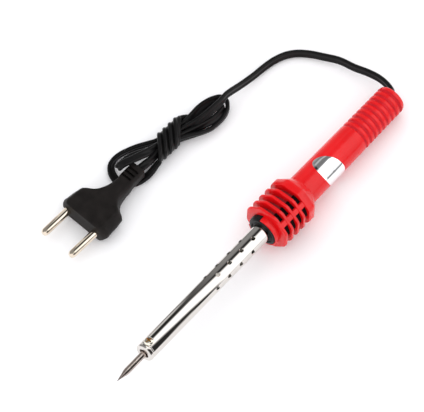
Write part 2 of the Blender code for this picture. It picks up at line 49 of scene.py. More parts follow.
# The iron's own frame: X along the axis, stations measured in millimetres from the handle's rear end
AXIS = Vector(joints["tip_slide"]["axis"]).normalized()
RADIAL = Vector(joints["tip_screw_turn"]["axis"]).normalized()
SCREW_STATION = 195.3
SCREW_ANGLE = -7.0
SCREW_POINT_R = 5.35
screw_point = Vector(joints["tip_screw_turn"]["pos_m"]) / MM
START = screw_point - RADIAL * SCREW_POINT_R - AXIS * SCREW_STATION
SIDE = Vector((0, 1, 0))
UP = AXIS.cross(SIDE)

# The plug's frame: u runs back from its front face, w across it
PLUG_ORIGIN = Vector((44.22, -78.39, 0))
PLUG_TURN = math.radians(-3.85)
PIN_DIRECTION = Vector((math.cos(PLUG_TURN), math.sin(PLUG_TURN), 0))
PLUG_SIDE = Vector((-math.sin(PLUG_TURN), math.cos(PLUG_TURN), 0))


def on_iron(station, radius=0.0, angle=0.0):
    """A point in metres; angle 0 is the top and positive angles lean towards +Y."""
    turn = math.radians(angle)
    return (START + AXIS * station + SIDE * (math.sin(turn) * radius) + UP * (math.cos(turn) * radius)) * MM


def plug_vector(u, w, z):
    return PIN_DIRECTION * -u + PLUG_SIDE * w + Vector((0, 0, z))


def on_plug(u, w, z):
    return (PLUG_ORIGIN + plug_vector(u, w, z)) * MM


# ---------------------------------------------------------------- materials

def material(name, color, rough, metal=0.0, vary=0.0, vary_scale=300.0, bump=0.0, bump_scale=900.0,
             rough_vary=0.0, specular=0.5):
    """A Principled material whose colour, roughness and surface are broken up by fine noise."""
    made = bpy.data.materials.new(name)
    made.use_nodes = True
    tree = made.node_tree
    shader = tree.nodes["Principled BSDF"]
    shader.inputs["Metallic"].default_value = metal
    shader.inputs["Roughness"].default_value = rough
    shader.inputs["Specular IOR Level"].default_value = specular
    place = tree.nodes.new("ShaderNodeTexCoord")
    noise = tree.nodes.new("ShaderNodeTexNoise")
    noise.inputs["Scale"].default_value = vary_scale
    noise.inputs["Detail"].default_value = 4.0
    tree.links.new(place.outputs["Object"], noise.inputs["Vector"])
    ramp = tree.nodes.new("ShaderNodeValToRGB")
    low = [channel * (1 - vary) for channel in color]
    high = [min(1.0, channel * (1 + vary)) for channel in color]
    ramp.color_ramp.elements[0].position = 0.35
    ramp.color_ramp.elements[0].color = (*low, 1.0)
    ramp.color_ramp.elements[1].position = 0.65
    ramp.color_ramp.elements[1].color = (*high, 1.0)
    tree.links.new(noise.outputs["Fac"], ramp.inputs["Fac"])
    tree.links.new(ramp.outputs["Color"], shader.inputs["Base Color"])
    fine = tree.nodes.new("ShaderNodeTexNoise")
    fine.inputs["Scale"].default_value = bump_scale
    fine.inputs["Detail"].default_value = 3.0
    tree.links.new(place.outputs["Object"], fine.inputs["Vector"])
    if rough_vary:
        spread = tree.nodes.new("ShaderNodeMapRange")
        spread.inputs["To Min"].default_value = max(0.02, rough - rough_vary)
        spread.inputs["To Max"].default_value = rough + rough_vary
        tree.links.new(fine.outputs["Fac"], spread.inputs["Value"])
        tree.links.new(spread.outputs["Result"], shader.inputs["Roughness"])
    if bump:
        relief = tree.nodes.new("ShaderNodeBump")
        relief.inputs["Strength"].default_value = bump
        relief.inputs["Distance"].default_value = 0.00005
        tree.links.new(fine.outputs["Fac"], relief.inputs["Height"])
        tree.links.new(relief.outputs["Normal"], shader.inputs["Normal"])
    made.diffuse_color = (*color, 1.0)
    return made


RED = material("moulded_red", (0.70, 0.0045, 0.0070), 0.20, vary=0.05, vary_scale=90, bump=0.25,
               bump_scale=1600, rough_vary=0.05, specular=0.34)
# Darker red for the faces deep in the grip's grooves: painted shade in the grooves.
RED_GROOVE_SHADE = material("moulded_red_groove_painted_shade", (0.55, 0.0045, 0.013), 0.45, vary=0.12, bump=0.3, specular=0.15)
# Darker red for the guard's core, seen between the plates: painted shade in the recesses.
RED_CORE_SHADE = material("moulded_red_core_painted_shade", (0.26, 0.003, 0.009), 0.5, vary=0.15, vary_scale=200, bump=0.3)
# Near-black for the sheets and core faces beside the ribs: painted shade in the deep pockets between the plates.
POCKET_SHADE = material("pocket_painted_shade", (0.0075, 0.0022, 0.0028), 0.8, vary=0.2, bump=0.3, specular=0.05)
BAKELITE = material("black_bush", (0.007, 0.0085, 0.0092), 0.34, vary=0.25, vary_scale=250, bump=0.35,
                    bump_scale=1200, rough_vary=0.08, specular=0.22)
RUBBER = material("plug_rubber", (0.0120, 0.0098, 0.0090), 0.48, vary=0.25, vary_scale=160, bump=0.6,
                  bump_scale=1500, rough_vary=0.08, specular=0.12)
CORD = material("cord_sheath_pvc", (0.0070, 0.0068, 0.0070), 0.34, vary=0.2, vary_scale=200, bump=0.3,
                bump_scale=1300, rough_vary=0.07, specular=0.17)
FOIL = material("label_foil_bright", (0.93, 0.93, 0.94), 0.06, 1.0, vary=0.02, vary_scale=60, bump=0.12,
                bump_scale=120)
NICKEL = material("barrel_nickel", (0.70, 0.665, 0.63), 0.07, 1.0, vary=0.03, vary_scale=120, bump=0.08,
                  bump_scale=300, rough_vary=0.025)
VENT_EDGE = material("vent_heat_tint", (0.32, 0.24, 0.20), 0.35, 1.0, vary=0.2, vary_scale=900, bump=0.2)
TIP_METAL = material("tip_plating", (0.52, 0.45, 0.41), 0.2, 1.0, vary=0.18, vary_scale=420, bump=0.25,
                     bump_scale=900, rough_vary=0.08)
TIP_POINT = material("tip_tinned_point", (0.46, 0.39, 0.36), 0.17, 1.0, vary=0.25, vary_scale=700, bump=0.3,
                     bump_scale=900, rough_vary=0.06)
SCREW = material("screw_pale_zinc", (0.88, 0.83, 0.72), 0.2, 1.0, vary=0.15, vary_scale=700, bump=0.2,
                 bump_scale=900, rough_vary=0.05)
SLOT_TINT = material("screw_slot_gold", (0.62, 0.38, 0.13), 0.4, 1.0, vary=0.3, vary_scale=900, bump=0.2)
PIN = material("pin_nickel_plate", (0.80, 0.70, 0.58), 0.09, 1.0, vary=0.06, vary_scale=300, bump=0.1,
               bump_scale=500, rough_vary=0.03)
INNER = material("heated_steel", (0.11, 0.07, 0.055), 0.5, 1.0, vary=0.25, vary_scale=500, bump=0.3)
MICA = material("brown_mica", (0.10, 0.055, 0.035), 0.5, vary=0.35, vary_scale=350, bump=0.3)
CERAMIC = material("steatite", (0.62, 0.58, 0.52), 0.6, vary=0.08, vary_scale=400, bump=0.3)
FIBRE = material("woven_sleeve", (0.62, 0.58, 0.48), 0.85, vary=0.12, vary_scale=1500, bump=0.8,
                 bump_scale=2500)
BRASS = material("crimp_brass", (0.72, 0.52, 0.22), 0.3, 1.0, vary=0.1, vary_scale=500, bump=0.2)
COPPER = material("bare_copper", (0.72, 0.35, 0.20), 0.3, 1.0, vary=0.1, vary_scale=900, bump=0.4)


# ---------------------------------------------------------------- mesh helpers

def ease(low, high, value):
    """A smooth step from 0 at low to 1 at high."""
    share = max(0.0, min(1.0, (value - low) / (high - low)))
    return share * share * (3 - 2 * share)


def make_object(name, verts, faces, finish, sharp=38.0):
    data = bpy.data.meshes.new(name)
    data.from_pydata(verts, [], faces)
    shell = bmesh.new()
    shell.from_mesh(data)
    bmesh.ops.recalc_face_normals(shell, faces=shell.faces)
    shell.to_mesh(data)
    shell.free()
    data.materials.append(finish)
    data.shade_smooth()
    data.set_sharp_from_angle(angle=math.radians(sharp))
    made = bpy.data.objects.new(name, data)
    bpy.context.scene.collection.objects.link(made)
    return made


def loft(name, rings, finish, caps=True, closed=False, sharp=38.0):
    """Quads between rings of points; the ends are capped, or the last ring is joined to the first."""
    count = len(rings[0])
    verts = [point for ring in rings for point in ring]
    faces = []
    last = len(rings) if closed else len(rings) - 1
    for row in range(last):
        here = row * count
        there = (row + 1) % len(rings) * count
        for index in range(count):
            after = (index + 1) % count
            faces.append((here + index, here + after, there + after, there + index))
    if caps and not closed:
        faces.append(tuple(range(count)))
        faces.append(tuple(range((len(rings) - 1) * count, len(rings) * count)))
    return make_object(name, verts, faces, finish, sharp)


def circle(station, radius, steps=72):
    return [on_iron(station, radius, 360 * index / steps) for index in range(steps)]


def turned(name, profile, finish, steps=72, closed=False, sharp=38.0):
    """A solid of revolution about the iron's axis, from (station, radius) points."""
    rings = [circle(station, max(radius, 0.001), steps) for station, radius in profile]
    return loft(name, rings, finish, closed=closed, sharp=sharp)


def round_corner(start, corner, end, steps=4):
    """Points of a smooth curve from start to end that heads for the corner."""
    made = []
    for index in range(steps + 1):
        t = index / steps
        early, middle, late = (1 - t) ** 2, 2 * t * (1 - t), t ** 2
        made.append(tuple(a * early + b * middle + c * late for a, b, c in zip(start, corner, end)))
    return made


def join(name, pieces):
    """One object from several, keeping each one's materials."""
    slots = []
    combined = bmesh.new()
    for piece in pieces:
        before = len(combined.faces)
        combined.from_mesh(piece.data)
        combined.faces.ensure_lookup_table()
        own = list(piece.data.materials)
        for finish in own:
            if finish not in slots:
                slots.append(finish)
        for face in combined.faces[before:]:
            face.material_index = slots.index(own[min(face.material_index, len(own) - 1)])
    data = bpy.data.meshes.new(name)
    for finish in slots:
        data.materials.append(finish)
    combined.to_mesh(data)
    combined.free()
    made = bpy.data.objects.new(name, data)
    bpy.context.scene.collection.objects.link(made)
    for piece in pieces:
        bpy.data.objects.remove(piece, do_unlink=True)
    return made


BLOCK_FACES = [(0, 1, 2, 3), (4, 5, 6, 7), (0, 1, 5, 4), (1, 2, 6, 5), (2, 3, 7, 6), (3, 0, 4, 7)]


def cut(target, cutter):
    """Cuts the cutter out of the target, for good."""
    step = target.modifiers.new("cut", "BOOLEAN")
    step.operation = "DIFFERENCE"
    step.solver = "EXACT"
    step.object = cutter
    bpy.context.view_layer.update()
    graph = bpy.context.evaluated_depsgraph_get()
    data = bpy.data.meshes.new_from_object(target.evaluated_get(graph))
    target.modifiers.clear()
    target.data = data
    bpy.data.objects.remove(cutter, do_unlink=True)


def show_as(piece, body, slot, *nodes):
    """Puts a finished piece on its body in place of CAD nodes."""
    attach(piece, body)
    if nodes:
        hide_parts(*nodes)


# ---------------------------------------------------------------- handle

REAR_END = -1.2
REAR_R = 8.15
FRONT_R = 8.75
FLARE_START = 73.1
FLANGE_REAR = 78.4
FLANGE_FRONT = 82.7
CORNER_R = 13.97
GROOVES = 9
GROOVE_FIRST = 30.1
GROOVE_PITCH = 3.48
GROOVE_HALF = 1.05
GROOVE_DEEP = 0.75
CORD_HOLE_R = 2.6
PLATES = 4
PLATE_PITCH = 4.7
RIB_ANGLES = (45, 225)
FLAT_R = CORNER_R * math.cos(math.pi / 8)
GUARD_FRONT = 101.5
BOSS_FRONT = 104.8
BOSS_R = 9.2
BUSH_R = 8.35
NOTCH = (-104.0, -12.0)


def handle_radius(station):
    return REAR_R + (FRONT_R - REAR_R) * station / FLARE_START


def octagon_radius(angle, flat, corner_blend=0.9):
    """Distance to a slightly rounded octagon that stands on a flat."""
    local = math.radians((angle + 22.5) % 45 - 22.5)
    straight = flat / math.cos(local)
    limit = flat / math.cos(math.pi / 8) - corner_blend * 0.35
    edge = straight - limit
    return straight if edge < -0.3 else limit - 0.3 + 0.3 * (1 - math.exp(-(edge + 0.3) / 0.3))


def octagon_ring(station, flat, steps=96, blend=1.0, round_r=0.0):
    ring = []
    for index in range(steps):
        angle = 360 * index / steps
        radius = octagon_radius(angle, flat) * blend + round_r * (1 - blend)
        ring.append(on_iron(station, radius, angle))
    return ring


def groove_depth(station):
    """The nine shallow grooves of the grip, each with soft lips."""
    depth = 0.0
    for index in range(GROOVES):
        centre = GROOVE_FIRST - GROOVE_PITCH * index
        off = abs(station - centre) / GROOVE_HALF
        if off < 1:
            depth = max(depth, GROOVE_DEEP * (1 - off * off) ** 1.1)
    return depth


def build_grip():
    rings = []
    rear = round_corner((REAR_END, 6.7), (REAR_END, 7.93), (1.4, REAR_R), 8)
    rings.append(circle(2.5, CORD_HOLE_R, 96))
    rings.append(circle(REAR_END + 0.3, CORD_HOLE_R, 96))
    rings.append(circle(REAR_END, 2.9, 96))
    for station, radius in rear:
        rings.append(circle(station, radius, 96))
    station = 1.7
    while station < 31.2:
        rings.append(circle(station, handle_radius(station) - groove_depth(station), 96))
        station += 0.17
    while station < FLARE_START - 1:
        rings.append(circle(station, handle_radius(station), 96))
        station += 3.0
    flare_steps = 10
    for index in range(flare_steps + 1):
        share = index / flare_steps
        place = FLARE_START + (FLANGE_REAR - 0.15 - FLARE_START) * share
        blend = min(1.0, share * 1.5)
        flat = FRONT_R + (FLAT_R - 0.1 - FRONT_R) * share
        rings.append(octagon_ring(place, flat, 96, blend, FRONT_R + (FLAT_R - FRONT_R) * share))
    edge = 0.45
    rings.append(octagon_ring(FLANGE_REAR + 0.1, FLAT_R))
    rings.append(octagon_ring(FLANGE_FRONT - edge, FLAT_R))
    rings.append(octagon_ring(FLANGE_FRONT - 0.12, FLAT_R - 0.12))
    rings.append(octagon_ring(FLANGE_FRONT, FLAT_R - edge))
    rings.append(octagon_ring(FLANGE_FRONT, 8.0))
    grip = loft("grip", rings, RED, caps=False)
    # Faces deep in the grooves take the darker red: painted shade.
    grip.data.materials.append(RED_GROOVE_SHADE)
    for face in grip.data.polygons:
        offset = face.center / MM - START
        if groove_depth(offset.dot(AXIS)) > GROOVE_DEEP / 2 + 0.005:
            face.material_index = 1
    return grip


def build_plate(front, thick=1.7, inner=7.6):
    """One octagonal plate of the guard, a closed ring with eased edges."""
    edge = 0.35
    rings = [
        octagon_ring(front - thick, inner), octagon_ring(front - thick, FLAT_R - edge),
        octagon_ring(front - thick + 0.1, FLAT_R - 0.1), octagon_ring(front - thick + edge, FLAT_R),
        octagon_ring(front - edge, FLAT_R), octagon_ring(front - 0.1, FLAT_R - 0.1),
        octagon_ring(front, FLAT_R - edge), octagon_ring(front, inner),
    ]
    return loft("plate", rings, RED, closed=True)


def build_rib(angle, width=3.1, top=12.6):
    """A flat bar that ties the plates together."""
    half = width / 2
    rings = []
    for station in (FLANGE_FRONT - 0.5, GUARD_FRONT - 1.2):
        ring = []
        for across, height in ((-half, 7.5), (-half, top - 0.3), (-half + 0.3, top), (half - 0.3, top),
                               (half, top - 0.3), (half, 7.5)):
            radius = math.hypot(across, height)
            ring.append(on_iron(station, radius, angle + math.degrees(math.atan2(across, height))))
        rings.append(ring)
    return loft("rib", rings, RED)


def build_pocket_shade(rear, start, end, radius):
    """A dark sheet between two of the guard's plates, beside a rib: painted shade in the deep pocket there."""
    rings = []
    steps = 6
    for station in (rear, rear + 1.5, rear + 3.0):
        ring = []
        for index in range(steps + 1):
            ring.append(on_iron(station, radius, start + (end - start) * index / steps))
        for index in range(steps + 1):
            ring.append(on_iron(station, 8.0, end + (start - end) * index / steps))
        rings.append(ring)
    return loft("pocket_shade_sheet", rings, POCKET_SHADE)


def build_core():
    """The guard's core, in a darker red for painted shade between the plates and near-black for painted shade in
    the deep pockets beside each rib.
    """
    rings = []
    for station in (FLANGE_FRONT - 0.5, GUARD_FRONT - 0.5):
        ring = []
        for index in range(120):
            angle = 3.0 * index
            off = abs(angle % 180 - RIB_ANGLES[0])
            radius = 9.3 - 1.1 * max(0.0, min(1.0, (30 - off) / 4))
            ring.append(on_iron(station, radius, angle))
        rings.append(ring)
    # The core in the darker red: painted shade between the plates.
    core = loft("core", rings, RED_CORE_SHADE, caps=False)
    core.data.materials.append(POCKET_SHADE)
    for face in core.data.polygons:
        centre = face.center / MM - START
        angle = math.degrees(math.atan2(centre.dot(SIDE), centre.dot(UP)))
        # Core faces within 31 degrees of a rib take the near-black: painted shade in the pockets.
        if abs(angle % 180 - RIB_ANGLES[0]) < 31:
            face.material_index = 1
    return core


def build_boss():
    """The round collar in front of the guard, open where the bush's lug comes through."""
    outer = [(GUARD_FRONT - 0.4, BOSS_R), (BOSS_FRONT - 0.5, BOSS_R)]
    outer += round_corner((BOSS_FRONT - 0.5, BOSS_R), (BOSS_FRONT, BOSS_R), (BOSS_FRONT, BOSS_R - 0.45), 3)[1:]
    outer += [(BOSS_FRONT, BUSH_R), (GUARD_FRONT - 0.4, BUSH_R)]
    rings = []
    start = NOTCH[1]
    span = 360 - (NOTCH[1] - NOTCH[0])
    steps = 64
    for index in range(steps + 1):
        angle = start + span * index / steps
        rings.append([on_iron(station, radius, angle) for station, radius in outer])
    return loft("boss", rings, RED)


handle_parts = [build_grip(), build_core(), build_boss()]
for plate_index in range(PLATES):
    handle_parts.append(build_plate(GUARD_FRONT - PLATE_PITCH * plate_index))
for rib_angle in RIB_ANGLES:
    handle_parts.append(build_rib(rib_angle))
    # Dark sheets on both sides of each rib, one in each gap between plates: painted shade in the pockets.
    for pocket_index in range(PLATES):
        pocket_rear = FLANGE_FRONT + PLATE_PITCH * pocket_index
        handle_parts.append(build_pocket_shade(pocket_rear, rib_angle + 6, rib_angle + 41, 11.7))
        handle_parts.append(build_pocket_shade(pocket_rear, rib_angle - 34, rib_angle - 6, 11.0))
handle = join("handle_moulding", handle_parts)
show_as(handle, ROOT, "red_plastic", "handle")


LABEL_STATION = 55.5
LABEL_ANGLE = 56.0
LABEL_HALF_LENGTH = 6.7
LABEL_HALF_ARC = 12.9
LABEL_LEAN = 0.215


def build_label():
    """A thin oval foil that follows the handle's surface."""
    rows = []
    radial_steps = 10
    round_steps = 64
    lift = 0.10
    for ring_index in range(radial_steps + 1):
        share = ring_index / radial_steps
        row = []
        for index in range(round_steps):
            turn = 2 * math.pi * index / round_steps
            along = math.cos(turn) * LABEL_HALF_LENGTH * share
            arc = math.sin(turn) * LABEL_HALF_ARC * share
            station = LABEL_STATION + along - LABEL_LEAN * arc
            height = lift if ring_index < radial_steps else 0.0
            radius = handle_radius(station) + height + 0.02
            row.append(on_iron(station, radius, LABEL_ANGLE + math.degrees(arc / handle_radius(station))))
        rows.append(row)
    verts = [point for row in rows[1:] for point in row]
    faces = [tuple(range(round_steps))]
    for row in range(radial_steps - 1):
        for index in range(round_steps):
            after = (index + 1) % round_steps
            low = row * round_steps
            faces.append((low + index, low + after, low + round_steps + after, low + round_steps + index))
    return make_object("foil_label", verts, faces, FOIL)


label = build_label()
show_as(label, ROOT, "label_foil", "label")


# ---------------------------------------------------------------- bush and barrel

def build_bush():
    profile = [(88.4, 5.3), (88.4, 8.1), (BOSS_FRONT - 0.2, 8.1)]
    profile += [(BOSS_FRONT + 0.2, 8.05), (BOSS_FRONT + 0.4, 7.7), (BOSS_FRONT + 0.4, 6.75)]
    profile += [(BOSS_FRONT - 0.1, 6.6), (BOSS_FRONT - 0.1, 6.1), (BOSS_FRONT + 0.3, 5.95)]
    profile += [(BOSS_FRONT + 0.35, 5.5), (BOSS_FRONT, 5.2)]
    ring = turned("bush_ring", profile, BAKELITE, closed=True)
    outer = [(GUARD_FRONT + 0.1, 8.9), (BOSS_FRONT - 0.7, 8.9), (BOSS_FRONT - 0.3, 8.6)]
    outer += [(BOSS_FRONT - 0.3, 7.6), (GUARD_FRONT + 0.1, 7.6)]
    rings = []
    steps = 24
    for index in range(steps + 1):
        angle = NOTCH[0] + 1.5 + (NOTCH[1] - NOTCH[0] - 3) * index / steps
        rings.append([on_iron(station, radius, angle) for station, radius in outer])
    lug = loft("bush_lug", rings, BAKELITE)
    return join("bush_moulding", [ring, lug])


bush = build_bush()
show_as(bush, ROOT, "black_bakelite", "front_bush")

BARREL_R = 5.2
BARREL_IN = 4.8
BARREL_FRONT = 200.2
VENT_R = 1.05
VENT_FIRST = 113.4
VENT_PITCH = 9.4
VENT_ANGLE = 9.0


def vent_places():
    """Six rows of four round vents, every second row half a pitch further on."""
    places = []
    for row in range(6):
        for index in range(4):
            places.append((VENT_FIRST + VENT_PITCH * (row % 2 / 2 + index), VENT_ANGLE + 60 * row))
    return places


def radial_cutter(name, places, profile, finish, steps=20):
    """Turned shapes standing on the barrel, from (height over the axis, radius) points."""
    verts = []
    faces = []
    for station, angle in places:
        out = (on_iron(0, 1, angle) - on_iron(0)).normalized()
        across = AXIS.cross(out)
        base = len(verts)
        for height, radius in profile:
            for index in range(steps):
                turn = 2 * math.pi * index / steps
                spoke = AXIS * math.cos(turn) + across * math.sin(turn)
                verts.append(on_iron(station) + (out * height + spoke * radius) * MM)
        for row in range(len(profile) - 1):
            for index in range(steps):
                after = (index + 1) % steps
                low = base + row * steps
                high = low + steps
                faces.append((low + index, low + after, high + after, high + index))
        faces.append(tuple(base + index for index in range(steps)))
        faces.append(tuple(base + (len(profile) - 1) * steps + index for index in range(steps)))
    return make_object(name, verts, faces, finish)


def build_barrel():
    profile = [(88.0, BARREL_IN), (88.0, BARREL_R)]
    station = 100.0
    while station < 197.0:
        profile.append((station, BARREL_R))
        station += 4.0
    profile += [(196.9, BARREL_R), (197.15, BARREL_R - 0.16), (197.45, BARREL_R - 0.22)]
    profile += [(197.75, BARREL_R - 0.14), (198.0, BARREL_R + 0.02), (198.6, BARREL_R + 0.05)]
    profile += round_corner((198.9, BARREL_R + 0.03), (BARREL_FRONT, BARREL_R - 0.1), (BARREL_FRONT, 3.9), 8)
    profile += round_corner((BARREL_FRONT, 3.5), (BARREL_FRONT, 2.75), (199.5, 2.7), 4)
    profile += [(198.9, 2.7), (198.9, BARREL_IN)]
    barrel = turned("barrel_tube", profile, NICKEL, steps=128, closed=True, sharp=30)
    vent = [(BARREL_R + 0.6, 1.75), (BARREL_R - 0.02, 1.32), (BARREL_R - 0.22, VENT_R), (3.6, VENT_R)]
    cut(barrel, radial_cutter("vent_cutter", vent_places(), vent, VENT_EDGE))
    screw_hole = [(BARREL_R + 0.6, 1.5), (3.6, 1.5)]
    cut(barrel, radial_cutter("screw_cutter", [(SCREW_STATION, SCREW_ANGLE)], screw_hole, VENT_EDGE))
    return barrel


def polish_normals(obj, radius, low, high):
    """Gives the plain cylinder's faces exact round normals, so that cut holes don't dent the reflection."""
    mesh = obj.data
    mesh.shade_smooth()
    mesh.set_sharp_from_angle(angle=math.radians(28))
    normals = [Vector(corner.vector) for corner in mesh.corner_normals]
    for face in mesh.polygons:
        centre = face.center / MM - START
        station = centre.dot(AXIS)
        flat = centre - AXIS * station
        outward = face.normal.dot(flat.normalized())
        if not low < station < high or abs(flat.length - radius) > 0.12 or outward < 0.97:
            continue
        for loop in face.loop_indices:
            point = mesh.vertices[mesh.loops[loop].vertex_index].co / MM - START
            normals[loop] = (point - AXIS * point.dot(AXIS)).normalized()
    mesh.normals_split_custom_set(normals)


barrel = build_barrel()
polish_normals(barrel, BARREL_R, 88.0, 196.9)
show_as(barrel, ROOT, "polished_nickel", "barrel")

# ---------------------------------------------------------------- tip and its screw

TIP_R = 1.8
TIP_END = 221.4
CONE = 7.5
cone_start = TIP_END - CONE
tip_profile = [(156.0, 0.001), (156.0, 1.5), (156.4, TIP_R), (160.0, TIP_R), (180.0, TIP_R), (205.0, TIP_R)]
tip_profile += [(cone_start - 0.4, TIP_R)]
tip_rod = turned("tip_rod", tip_profile, TIP_METAL, steps=48)
cone_profile = round_corner((cone_start - 0.4, TIP_R), (cone_start, TIP_R), (cone_start + 0.4, TIP_R - 0.09), 3)
cone_profile += [(TIP_END - 4.0, TIP_R * 4.0 / CONE), (TIP_END - 1.0, 0.27)]
cone_profile += [(TIP_END - 0.25, 0.12), (TIP_END, 0.03)]
tip_cone = turned("tip_cone", cone_profile, TIP_POINT, steps=48)
tip = join("tip_turned", [tip_rod, tip_cone])
show_as(tip, "tip", "plated_copper", "tip")


def build_screw():
    """A domed head with a cross recess over a plain shank."""
    seat = BARREL_R + 0.12
    head = [(2.1, 0.001), (2.1, 1.25), (seat, 1.25), (seat, 2.4)]
    head += round_corner((seat + 0.25, 2.6), (seat + 1.25, 2.5), (seat + 1.35, 1.0), 8)
    head += [(seat + 1.4, 0.001)]
    screw = radial_cutter("screw_head", [(SCREW_STATION, SCREW_ANGLE)], head, SCREW, steps=32)
    out = (on_iron(0, 1, SCREW_ANGLE) - on_iron(0)).normalized()
    across = AXIS.cross(out)
    screw.data.materials.append(SLOT_TINT)
    for turn in (12.0, 102.0):
        along = AXIS * math.cos(math.radians(turn)) + across * math.sin(math.radians(turn))
        sideways = out.cross(along)
        verts = []
        for height in (seat + 0.6, seat + 2.2):
            for a, b in ((-1.7, -0.42), (1.7, -0.42), (1.7, 0.42), (-1.7, 0.42)):
                verts.append(on_iron(SCREW_STATION) + (out * height + along * a + sideways * b) * MM)
        slot = make_object("slot_cutter", verts, BLOCK_FACES, SCREW)
        slot.data.materials.append(SLOT_TINT)
        for face in slot.data.polygons:
            face.material_index = 1
        cut(screw, slot)
    return screw


screw = build_screw()
screw.data.shade_smooth()
screw.data.set_sharp_from_angle(angle=math.radians(40))
show_as(screw, "tip_screw", "screw_steel", "tip_screw")


# ---------------------------------------------------------------- plug

def plug_ring(half_w, low, high, edge):
    """A flat-topped section that thins to a narrow rounded edge on both sides, as points (w, z)."""
    flat = half_w * 0.80
    middle = (low + high) / 2
    corners = [(half_w, middle + edge), (flat, high), (-flat, high), (-half_w, middle + edge),
               (-half_w, middle - edge), (-flat, low), (flat, low), (half_w, middle - edge)]
    points = []
    for index, corner in enumerate(corners):
        ends = []
        for other in (corners[index - 1], corners[(index + 1) % len(corners)]):
            reach = math.dist(corner, other)
            share = min(0.45, 1.3 / reach)
            ends.append(tuple(a + (b - a) * share for a, b in zip(corner, other)))
        points += round_corner(ends[0], corner, ends[1])
    return points


PIN_HALF_GAP = 9.5
PIN_HEIGHT = 6.5
PLUG_SHIFT = 0.6
# Stations of the plug: (distance behind the front face, half width, lowest, highest)
PLUG_SECTIONS = [
    (0.0, 12.4, 1.3, 11.7), (0.05, 13.4, 0.7, 12.3), (0.4, 14.2, 0.25, 12.75),
    (1.2, 14.9, 0.05, 12.95), (2.4, 15.35, 0.0, 13.0), (3.4, 15.4, 0.0, 13.0),
    (4.2, 15.15, 0.0, 13.0), (6.0, 15.0, 0.0, 13.0), (9.0, 14.8, 0.0, 13.0),
    (12.0, 14.25, 0.0, 13.0), (13.4, 14.05, 0.0, 13.0), (14.2, 13.1, 0.0, 13.0),
    (14.8, 12.3, 0.0, 13.0), (15.4, 11.1, 0.0, 13.0), (16.4, 9.5, 0.02, 12.95),
    (17.6, 8.2, 0.1, 12.9), (19.0, 7.15, 0.25, 12.7), (20.8, 6.15, 0.6, 12.4),
    (23.0, 5.35, 1.1, 11.9), (26.0, 4.8, 1.9, 11.2), (29.5, 4.55, 2.6, 10.6),
    (33.0, 4.5, 2.9, 10.3), (38.0, 4.45, 2.9, 10.2), (41.4, 4.4, 2.95, 10.1),
    (41.9, 4.1, 3.2, 9.8), (42.0, 3.7, 3.6, 9.4),
]
plug_rings = []
for u, half_w, low, high in PLUG_SECTIONS:
    section = plug_ring(half_w, low, high, 1.2 + 1.2 * ease(14, 24, u))
    skew = 0.09 * ease(5, 11, u) * (1 - ease(16, 24, u))
    shift = PLUG_SHIFT + 0.9 * ease(13, 18, u) * (1 - ease(29, 35, u))
    plug_rings.append([on_plug(u + skew * w, w + shift, z) for w, z in section])
plug = loft("plug_moulding", plug_rings, RUBBER, sharp=50)
for slot_u in (32.9, 35.6, 38.3):
    for low, high in ((8.7, 11.5), (1.5, 4.3)):
        verts = []
        for z in (low, high):
            for du, w in ((-0.65, -3.4), (0.65, -3.4), (0.65, 3.4), (-0.65, 3.4)):
                verts.append(on_plug(slot_u + du, w, z))
        cut(plug, make_object("slot_cutter", verts, BLOCK_FACES, RUBBER))
plug.data.shade_smooth()
plug.data.set_sharp_from_angle(angle=math.radians(42))
show_as(plug, ROOT, "black_rubber", "plug_body")


def build_pin(name, w):
    profile = [(-18.97, 0.05), (-18.9, 0.7), (-18.6, 1.3), (-18.0, 1.8), (-17.1, 2.1), (-16.0, 2.15)]
    profile += [(-10.0, 2.15), (-0.5, 2.15), (0.1, 2.15), (5.6, 2.15), (5.6, 0.05)]
    rings = []
    for u, radius in profile:
        ring = []
        for index in range(40):
            turn = 2 * math.pi * index / 40
            ring.append(on_plug(u, w + math.cos(turn) * radius, PIN_HEIGHT + math.sin(turn) * radius))
        rings.append(ring)
    return loft(name, rings, PIN)


pin_left = build_pin("pin_left", -PIN_HALF_GAP)
show_as(pin_left, ROOT, "pin_nickel", "plug_pin_left")
pin_right = build_pin("pin_right", PIN_HALF_GAP)
show_as(pin_right, ROOT, "pin_nickel", "plug_pin_right")

# ---------------------------------------------------------------- cord

CORD_WIDTH = 4.4
CORD_THICK = 2.2
# The direction of the ribbon's width along the free arc
EDGE = Vector((-0.36, -0.29, 0.86))

# The free arc from inside the handle's rear hole to the bundle
LEAD = [
    (-109.6, 0.0, 8.1), (-111.4, -0.2, 8.2), (-113.2, -1.5, 8.3), (-114.6, -4.4, 8.3), (-115.7, -8.2, 7.8),
    (-116.3, -12.8, 7.0), (-115.8, -18.9, 6.2), (-114.1, -27.5, 5.0), (-112.9, -36.4, 4.0), (-110.0, -43.9, 3.3),
    (-107.0, -50.8, 2.7), (-102.9, -56.9, 2.4), (-98.4, -60.6, 2.3), (-93.5, -62.8, 2.3), (-84.3, -64.7, 2.6),
    (-79.3, -65.1, 3.2), (-74.7, -65.5, 4.2), (-69.8, -65.9, 5.6), (-65.3, -66.2, 7.4), (-60.8, -66.4, 9.4),
    (-56.8, -66.4, 10.8),
]
